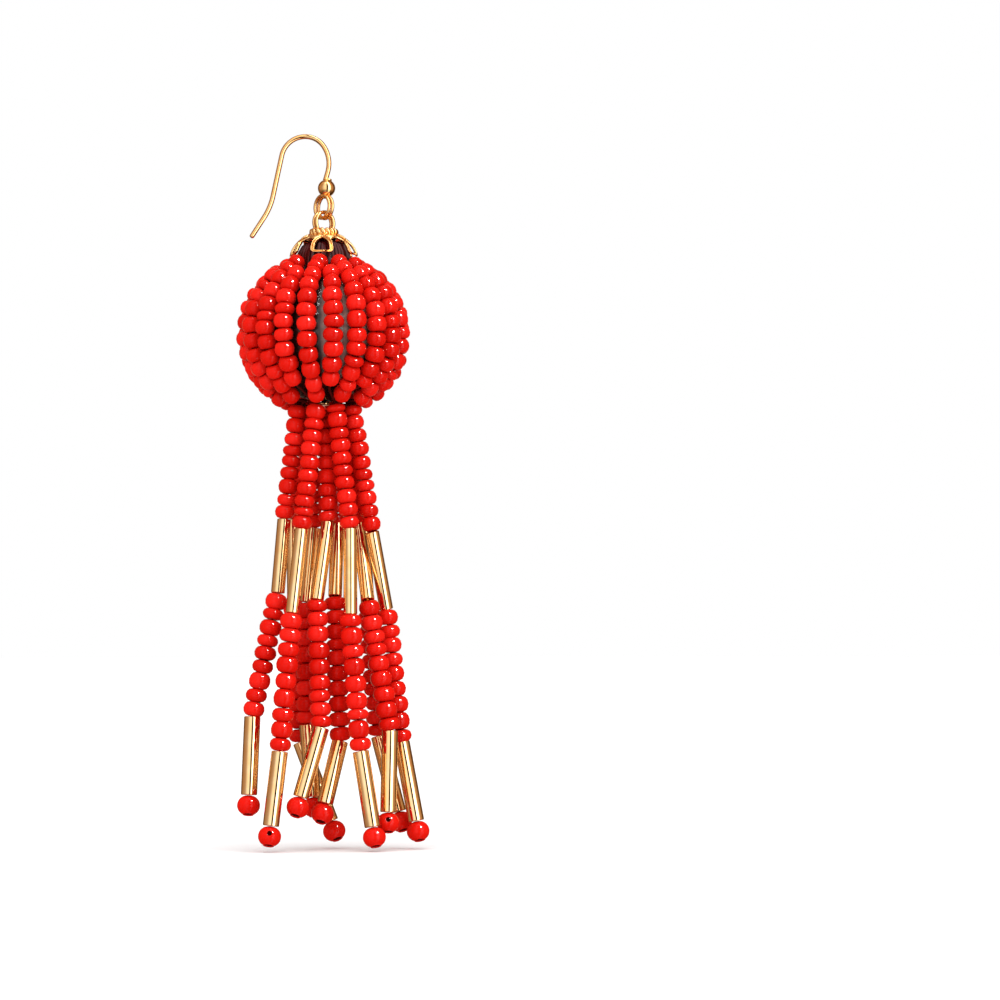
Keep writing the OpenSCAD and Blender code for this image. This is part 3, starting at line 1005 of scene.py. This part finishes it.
def bead_string(name, points, count, width, seed, end_width=None, spread=0.13, thin=0.05, wobble=0.06, tilt=4.0,
                narrow=(0.0, 1.0)):
    """Beads along a route in metres. Widths are in mm."""
    return run_tree(BEAD_STRING, name, route_mesh(points), {
        "Bead": unit_bead, "Count": count, "Middle Width": width * MM, "End Width": (end_width or width) * MM,
        "Narrows From": narrow[0] * MM, "Narrow By": narrow[1] * MM, "Length Spread": spread, "Thin Share": thin,
        "Wobble": wobble * MM, "Tilt": math.radians(tilt), "Seed": seed, "Material": red_glass})


# %% [markdown]
# ## The beads on the ball
# Twenty strings run down the ball like lines of longitude. Every second one is shorter, for want of room.

# %% Ball strings
STRING_R = 12.4
BEAD_STEP = 10.75
LONG_START = 28.0
STRING_AZIMUTHS = (7, 25, 42.5, 60, 80, 98, 116, 134, 151, 168, 186, 204, 222, 240, 258, 275, 293, 312, 329, 347)
# How far a string leans round the ball at its top and at its bottom, in degrees. The tops of the strings behind
# show between those of the front ones.
LEANS = {20: (5.0, 3.0), **{number: (-8.0, 0.0) for number in range(8, 14)}}
TOP_ENDS, BOTTOM_BEGINS = 55.0, 105.0


def string_azimuth(number, polar):
    """Where round the ball a string is, this many degrees from the top of the ball."""
    top, bottom = LEANS.get(number, (0, 0))
    lean = top * 2 * max(0, 1 - polar / TOP_ENDS) + bottom * max(0, polar - BOTTOM_BEGINS) / 40
    return STRING_AZIMUTHS[number - 1] + lean - 90


def string_place(number, polar, radius=STRING_R):
    """A point of a ball string, this many degrees from the top of the ball."""
    t, a = math.radians(polar), math.radians(string_azimuth(number, polar))
    return BALL_CENTRE + Vector((math.cos(a) * math.sin(t), math.sin(a) * math.sin(t), math.cos(t))) * (radius * MM)


def string_beads(number):
    """How many beads a ball string has, and where its first one is."""
    return (12, LONG_START) if number % 2 == 0 else (9, LONG_START + 1.5 * BEAD_STEP)


def ball_route(number):
    """Points from half a bead above the first bead to half a bead below the last one."""
    count, start = string_beads(number)
    step = BEAD_STEP / 3
    return [string_place(number, start - BEAD_STEP / 2 + step * i) for i in range(count * 3 + 1)]


# Threads, in mm and degrees: their radius, their distance from the core's centre, how far a string's two runs are
# from its middle, and their way up the neck into the bore as (radius, height, share of that distance)
THREAD_R = 0.25
THREAD_LAY = CORE_R + 0.26
RUNS_APART = 4.4
NECK_WAY = [(4.4, 10.1, 1.0), (4.3, 11.0, 1.0), (4.2, 12.2, 1.0), (3.95, 13.2, 1.0), (3.4, 14.15, 1.0),
            (2.6, 14.7, 1.0), (1.6, 14.92, 1.0), (0.75, 14.72, 0.5), (0.55, 14.0, 0.2)]
# On from the string's lower end, under the core: (degrees past the end, distance from the centre in mm)
UNDER_WAY = ((-3, STRING_R), (3, 12.1), (9, 11.6))
ABOVE_STRAND = Vector((0, 0, 1.2)) * MM
SLACK = Vector((0, 0, 0.25)) * MM


def dark_thread(name, paths):
    """Threads along paths, each a list of (point, direction across)."""
    shell = Shell()
    for path in paths:
        sweep(shell, [p for p, _ in path], [across for _, across in path], circle_section(THREAD_R * MM, 6))
    thread = shell.build(name, red_glass)
    # Painted shade: the red thread gets a near-black red, as in the shade it lies in
    set_tones(thread, [THREAD_SHADE_TONE] * len(thread.data.vertices))
    return thread


def thread_over_core(number):
    """The thread's two runs, up and down again, from the first bead over the core and its neck into the bore."""
    start = string_beads(number)[1]
    first = start - BEAD_STEP / 2
    way = [(r, z, 0.0) for z, r in arc(STRING_R, (first + 4, first))]
    way += [(r, z, 0.6) for z, r in arc(THREAD_LAY, np.arange(first - 5, 25, -4))] + NECK_WAY
    paths = []
    for side in (-1, 1):
        path = []
        for r, z, parted in way:
            a = math.radians(string_azimuth(number, start) + side * RUNS_APART * parted)
            path.append((BALL_CENTRE + Vector((r * math.cos(a), r * math.sin(a), z)) * MM,
                         Vector((-math.sin(a), math.cos(a), 0))))
        paths.append(path)
    return dark_thread(f"thread_{number}", paths)


for number in range(1, 21):
    beads = bead_string(f"ball_beads_{number:02d}", ball_route(number), string_beads(number)[0], 3.36,
                        100 + number, end_width=2.92, narrow=(5.2, 3.2), wobble=0.10, tilt=7.0)
    beads = join(beads.name, [beads, thread_over_core(number)])
    highlighted.objects.link(beads)
    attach(beads, "drop")
    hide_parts(f"ball_string_{number:02d}")
print("faces of the last ball string:", len(beads.data.polygons))

# %% [markdown]
# ## Bugles
# A bugle is a length of glass tube. A rounded rectangle carried round a circle makes wall, bore and rims in one
# closed surface. Each tube lies where the solid model's lies, so its two ends are measured there.

# %% Tree: a tube between two points


def build_tube_tree():
    tree = Tree("tube between points", {"Top": "Vector", "Bottom": "Vector", "Width": "Float", "Bore": "Float",
                                        "Rim Radius": "Float", "Material": "Material"})
    given = tree.given
    along = tree.vector("SUBTRACT", given["Top"], given["Bottom"])
    middle = tree.vector("SCALE", tree.vector("ADD", given["Top"], given["Bottom"]))
    middle.node.inputs["Scale"].default_value = 0.5
    wall = tree.math("MULTIPLY", tree.math("SUBTRACT", given["Width"], given["Bore"]), 0.5)
    reach = tree.math("MULTIPLY", tree.math("ADD", given["Width"], given["Bore"]), 0.25)
    section = tree.made("GeometryNodeCurvePrimitiveQuadrilateral", {"mode": "RECTANGLE"}, Width=wall,
                        Height=tree.vector("LENGTH", along))
    rounded = tree.made("GeometryNodeFilletCurve", {"mode": "POLY"}, Curve=section, Count=3,
                        Radius=given["Rim Radius"])
    loop = tree.made("GeometryNodeCurvePrimitiveCircle", {"mode": "RADIUS"}, Resolution=24, Radius=reach)
    tube = tree.made("GeometryNodeCurveToMesh", Curve=loop, Profile_Curve=rounded)
    upright = tree.made("FunctionNodeAlignRotationToVector", {"axis": "Z"}, Vector=along)
    tree.finish(tree.made("GeometryNodeTransform", Geometry=tube, Translation=middle, Rotation=upright))
    return tree


TUBE = build_tube_tree()


def tube_ends(node):
    """Top and bottom centres of a solid tube."""
    corners = np.array([v.co for v in frame["nodes"][node].data.vertices])
    corners = np.unique(corners.round(7), axis=0)
    middle = corners.mean(axis=0)
    along = np.linalg.svd(corners - middle)[2][0]
    along = along if along[2] > 0 else -along
    height = (corners - middle) @ along
    return [Vector(corners[height * way > 0].mean(axis=0)) for way in (1, -1)]


bugle_ends = {}
for row, width in (("upper", 2.2), ("lower", 2.6)):
    for number in range(1, 11):
        node = f"{row}_bugle_{number:02d}"
        top, bottom = bugle_ends[row, number] = tube_ends(node)
        tube = run_tree(TUBE, f"{row}_tube_{number:02d}", route_mesh([top, bottom]), {
            "Top": top, "Bottom": bottom, "Width": width * MM, "Bore": 1.2 * MM, "Rim Radius": 0.16 * MM,
            "Material": gold_bugle})
        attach(tube, "drop")
        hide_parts(node)
    print(row, "bugles:", round((top - bottom).length / MM, 2), "mm long, faces", len(tube.data.polygons))

# %% [markdown]
# ## The tassel's strands
# Each strand is beads, bugle, beads, bugle and one bigger end bead. The beads on each side of a bugle lie on its
# axis, so the runs follow from the bugles' ends and from where the strand leaves the ball.

# %% Where the strands start, and their end beads
UPPER_BEAD = {"pitch": 2.0, "shown": 3.32}
LOWER_BEAD = {"pitch": 2.3, "shown": 3.62}
END_BEAD_W = 3.65
END_BEAD_H = 3.2
END_HOLE_R = 0.70
BUGLE_GAP = 0.25
BEAD_GAP = 0.1
CLEARANCE = 0.04
FIRST_BEADS = (
    # strand, right of, behind and above the ball's centre in mm, and the end bead's turn to the front in degrees
    (1, -4.2, -1.9, -12.6, 15),
    (2, -1.3, -4.5, -12.6, 15),
    (3, 0.1, -1.3, -13.2, 20),
    (4, -3.15, 1.3, -12.8, 10),
    (5, 0.1, 1.9, -13.2, 20),
    (6, -1.7, 4.7, -12.8, 20),
    (7, 1.95, -4.5, -12.6, 15),
    (8, 3.4, 1.3, -12.8, 15),
    (9, 1.8, 4.7, -12.8, 15),
    (10, 4.6, -1.9, -12.6, 15),
)
# The end beads with a small blind hole in front, a little above the middle, and its (radius, depth) in mm
SIDE_HOLED = (2, 8)
SIDE_HOLE = ((0.375, 0), (0.375, 1.0), (0.2, 1.2))


def beyond(end, other, distance):
    """A point this many mm beyond a bugle's end."""
    return end + (end - other).normalized() * (distance * MM)


def next_bead(end, other, kind):
    """The centre of the bead next to a bugle's end."""
    return beyond(end, other, (kind["pitch"] - BEAD_GAP) / 2 + BUGLE_GAP)


def build_end_bead(name, centre, along, turn, side_hole):
    """A nearly round bead with an open hole in its lower end, made in detail because it shows."""
    axis = Matrix.Rotation(math.radians(-turn), 3, "X") @ along.normalized()
    half_w, half_h = END_BEAD_W / 2, END_BEAD_H / 2
    hole, floor = END_HOLE_R, half_h * 0.2
    profile = [(0.02, floor), (hole * 0.7, floor + 0.02), (hole - 0.03, floor + 0.12), (hole, floor + 0.3),
               (hole, half_h * 0.78), (hole + 0.05, half_h * 0.9), (hole + 0.16, half_h * 0.965)]
    for x, z in arc(1, (*range(66, -86, -8), -86)):
        profile.append((half_w * x ** 0.88, half_h * z * (1.0 if z > -0.86 else 0.98)))
    shell = Shell()
    lathe(shell, profile, centre, 32, axis=axis)
    bead = shell.build(name, red_glass)
    tones = []
    for corner in bead.data.vertices:
        off = corner.co - centre
        rise = off.dot(axis)
        inside = (off - axis * rise).length < (hole + 0.04) * MM and rise > floor * MM * 0.9
        # Painted shade: the hole's walls get a dark tone
        tones.append(HOLE_SHADE_TONE if inside else END_BEAD_TONE)
    set_tones(bead, tones)
    if side_hole:
        drill_side(bead, centre)
    return bead


def drill_side(bead, centre):
    """Cuts the hole in the front of an end bead."""
    shell = Shell()
    mouth = centre + Vector((0, -END_BEAD_W / 2 - 0.3, 0.5)) * MM
    lathe(shell, SIDE_HOLE, mouth, 16, axis=Vector((0, 1, 0)))
    drill = shell.build("drill", red_glass)
    # Painted shade: the side hole's walls get a dark tone
    set_tones(drill, [HOLE_SHADE_TONE] * len(drill.data.vertices))
    cut = bead.modifiers.new("cut", "BOOLEAN")
    cut.object = drill
    cut.operation = "DIFFERENCE"
    mesh = evaluated_mesh(bead)
    bead.modifiers.clear()
    bead.data = mesh
    bpy.data.objects.remove(drill)


def nearest_strand(number):
    """The strand that a ball string's thread runs on into."""
    low = string_place(number, 140)
    return min(FIRST_BEADS, key=lambda row: (BALL_CENTRE + Vector(row[1:4]) * MM - low).length)[0]


def threads_below(strand, first):
    """The threads that come from the ball strings to a strand, under the core."""
    paths = []
    for number in range(1, 21):
        if nearest_strand(number) != strand:
            continue
        count, start = string_beads(number)
        last = start + (count - 0.5) * BEAD_STEP
        points = [string_place(number, last + further, radius) for further, radius in UNDER_WAY]
        above = first + ABOVE_STRAND
        points += [points[-1].lerp(above, 0.5) - SLACK, above, first]
        across = UP.cross(points[0] - BALL_CENTRE).normalized()
        paths.append([(p, across) for p in points])
    return [dark_thread(f"below_{strand}", paths)] if paths else []


strand_rows = []
for number, x, y, z, turn in FIRST_BEADS:
    first = BALL_CENTRE + Vector((x, y, z)) * MM
    upper_top, upper_bottom = bugle_ends["upper", number]
    lower_top, lower_bottom = bugle_ends["lower", number]
    pieces = []
    last = next_bead(lower_top, lower_bottom, LOWER_BEAD)
    runs = (
        (first, next_bead(upper_top, upper_bottom, UPPER_BEAD), UPPER_BEAD),
        (next_bead(upper_bottom, upper_top, LOWER_BEAD), last, LOWER_BEAD),
    )
    for part, (start, end, kind) in enumerate(runs):
        steps = round((end - start).length / MM / kind["pitch"])
        above = beyond(upper_bottom, upper_top, CLEARANCE) if part else start - (end - start) / steps / 2
        below = beyond(lower_top, lower_bottom, CLEARANCE) if part else beyond(upper_top, upper_bottom, CLEARANCE)
        route = [above + (below - above) * (i / 8) for i in range(9)]
        pieces.append(bead_string(f"run_{number}_{part}", route, steps + 1, kind["shown"], 200 + number * 2 + part,
                                  spread=0.2, thin=0.08))
    end_centre = beyond(lower_bottom, lower_top, END_BEAD_H / 2 + CLEARANCE)
    pieces.append(build_end_bead(f"end_{number}", end_centre, end_centre - last, turn, number in SIDE_HOLED))
    strand = join(f"tassel_beads_{number:02d}", pieces + threads_below(number, first))
    highlighted.objects.link(strand)
    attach(strand, "drop")
    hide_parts(f"strand_{number:02d}")
    strand_rows.append(len(strand.data.polygons))
print("faces of the strands:", strand_rows)

# %% [markdown]
# ## The floor
# White paper just under the lowest bead, rising a little to the back. It is as bright as the background, so only
# the soft shadow near the beads shows. Glossy rays pass through it, so the gold mirrors only the studio.

# %% Floor
FLOOR_GAP = 0.25 * MM
FLOOR_RISE = math.radians(3)
FLOOR_REACH = 3.0
PAPER_SHOWN = 1.24


def add_floor():
    mesh = bpy.data.meshes.new("floor")
    level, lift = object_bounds()[0].z - FLOOR_GAP, FLOOR_REACH * math.tan(FLOOR_RISE)
    corners = [(x * FLOOR_REACH, y * FLOOR_REACH, level + y * lift) for x, y in ((-1, -1), (1, -1), (1, 1), (-1, 1))]
    mesh.from_pydata(corners, [], [(0, 1, 2, 3)])
    floor = add_object("floor", mesh)
    paper = bpy.data.materials.new("white_paper")
    paper.use_nodes = True
    shader = paper.node_tree.nodes["Principled BSDF"]
    # The even light that this slope gets, so that the paper comes out just as white as the background
    facing = Vector((0, -math.sin(FLOOR_RISE), math.cos(FLOOR_RISE))).dot(Vector(AMBIENT_FROM))
    light = AMBIENT + AMBIENT_LEAN * facing * 2 / 3
    shader.inputs["Base Color"].default_value = (*[PAPER_SHOWN / light] * 3, 1)
    shader.inputs["Roughness"].default_value = 0.9
    shader.inputs["Specular IOR Level"].default_value = 0.0
    mesh.materials.append(paper)
    floor.visible_glossy = False


add_floor()
faces = sum(len(o.data.polygons) for o in bpy.data.objects if o.type == "MESH" and not o.hide_render)
print("faces in all:", faces)
